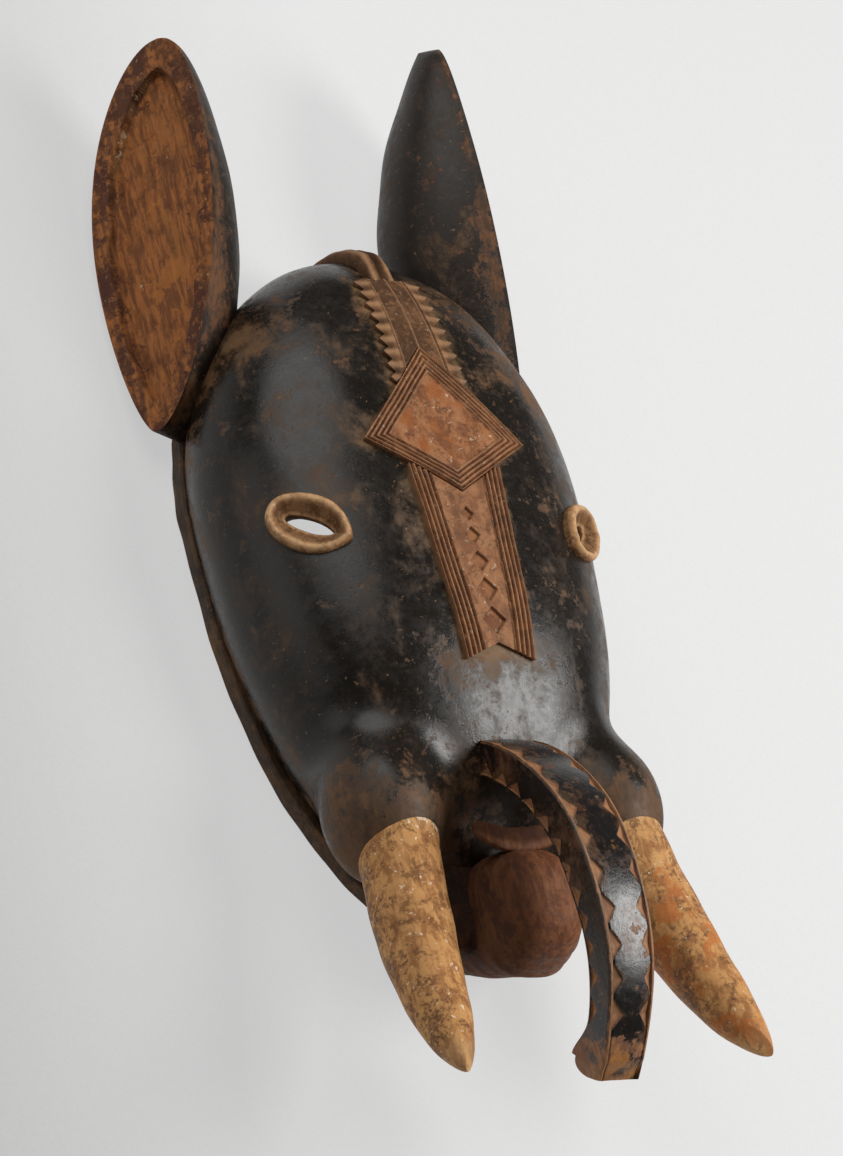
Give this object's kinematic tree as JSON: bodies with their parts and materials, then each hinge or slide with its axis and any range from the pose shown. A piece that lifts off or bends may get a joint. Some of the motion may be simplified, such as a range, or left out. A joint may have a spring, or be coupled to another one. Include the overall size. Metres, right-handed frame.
{
  "type": "carved wooden elephant mask",
  "caption": "Hollow carved wooden elephant mask with upright ears, tusks, an arched trunk and a carved forehead band, lying face up on its rim.",
  "frame": {"origin": "under the middle of the mask's length and width, on the flat back of its rim", "axes": "+Y from the muzzle towards the ears, +Z out of the face, +X to the right for a viewer who faces it"},
  "size_m": [0.225, 0.5738, 0.1314],
  "materials": {
    "carved_wood": "worn black paint over brown wood, satin"
  },
  "bodies": {
    "root": {"elephant_mask": "carved_wood"}
  },
  "joints": []
}
